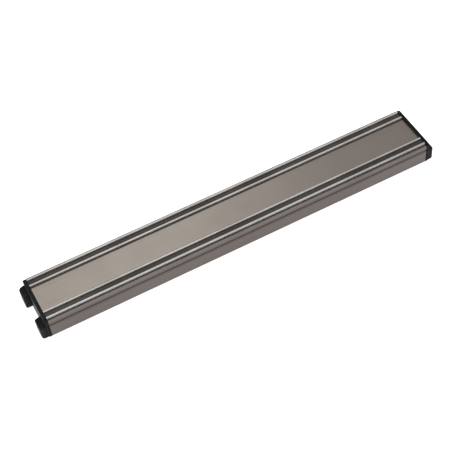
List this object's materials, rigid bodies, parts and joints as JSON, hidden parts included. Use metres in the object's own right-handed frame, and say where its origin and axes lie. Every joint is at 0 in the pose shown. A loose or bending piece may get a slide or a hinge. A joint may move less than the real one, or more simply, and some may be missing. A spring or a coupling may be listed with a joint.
{
  "type": "magnetic holder bar",
  "caption": "Straight wall-mounted magnetic holder bar for steel hand tools: anodised aluminium profile, steel-edged magnetic rails and black end caps.",
  "frame": {"origin": "middle of the back face, which lies flat on the wall or on a bench", "axes": "+X along the bar, +Y across it, +Z out of the working face"},
  "size_m": [0.4084, 0.054, 0.0249],
  "materials": {
    "housing": "satin bronze-grey anodised",
    "end_cap": "black moulded plastic, finely textured",
    "tray": "black extruded plastic",
    "pole_steel": "ground edges, bright",
    "filler": "matt black",
    "magnet": "dark ferrite, ground"
  },
  "bodies": {
    "root": {"housing": "housing", "left_end_cap": "end_cap", "right_end_cap": "end_cap", "upper_tray": "tray", "upper_outer_pole": "pole_steel", "upper_inner_pole": "pole_steel", "upper_filler": "filler", "lower_tray": "tray", "lower_outer_pole": "pole_steel", "lower_inner_pole": "pole_steel", "lower_filler": "filler", "upper_magnet_1": "magnet", "upper_magnet_2": "magnet", "upper_magnet_3": "magnet", "upper_magnet_4": "magnet", "upper_magnet_5": "magnet", "upper_magnet_6": "magnet", "upper_magnet_7": "magnet", "upper_magnet_8": "magnet", "lower_magnet_1": "magnet", "lower_magnet_2": "magnet", "lower_magnet_3": "magnet", "lower_magnet_4": "magnet", "lower_magnet_5": "magnet", "lower_magnet_6": "magnet", "lower_magnet_7": "magnet", "lower_magnet_8": "magnet"}
  },
  "joints": []
}
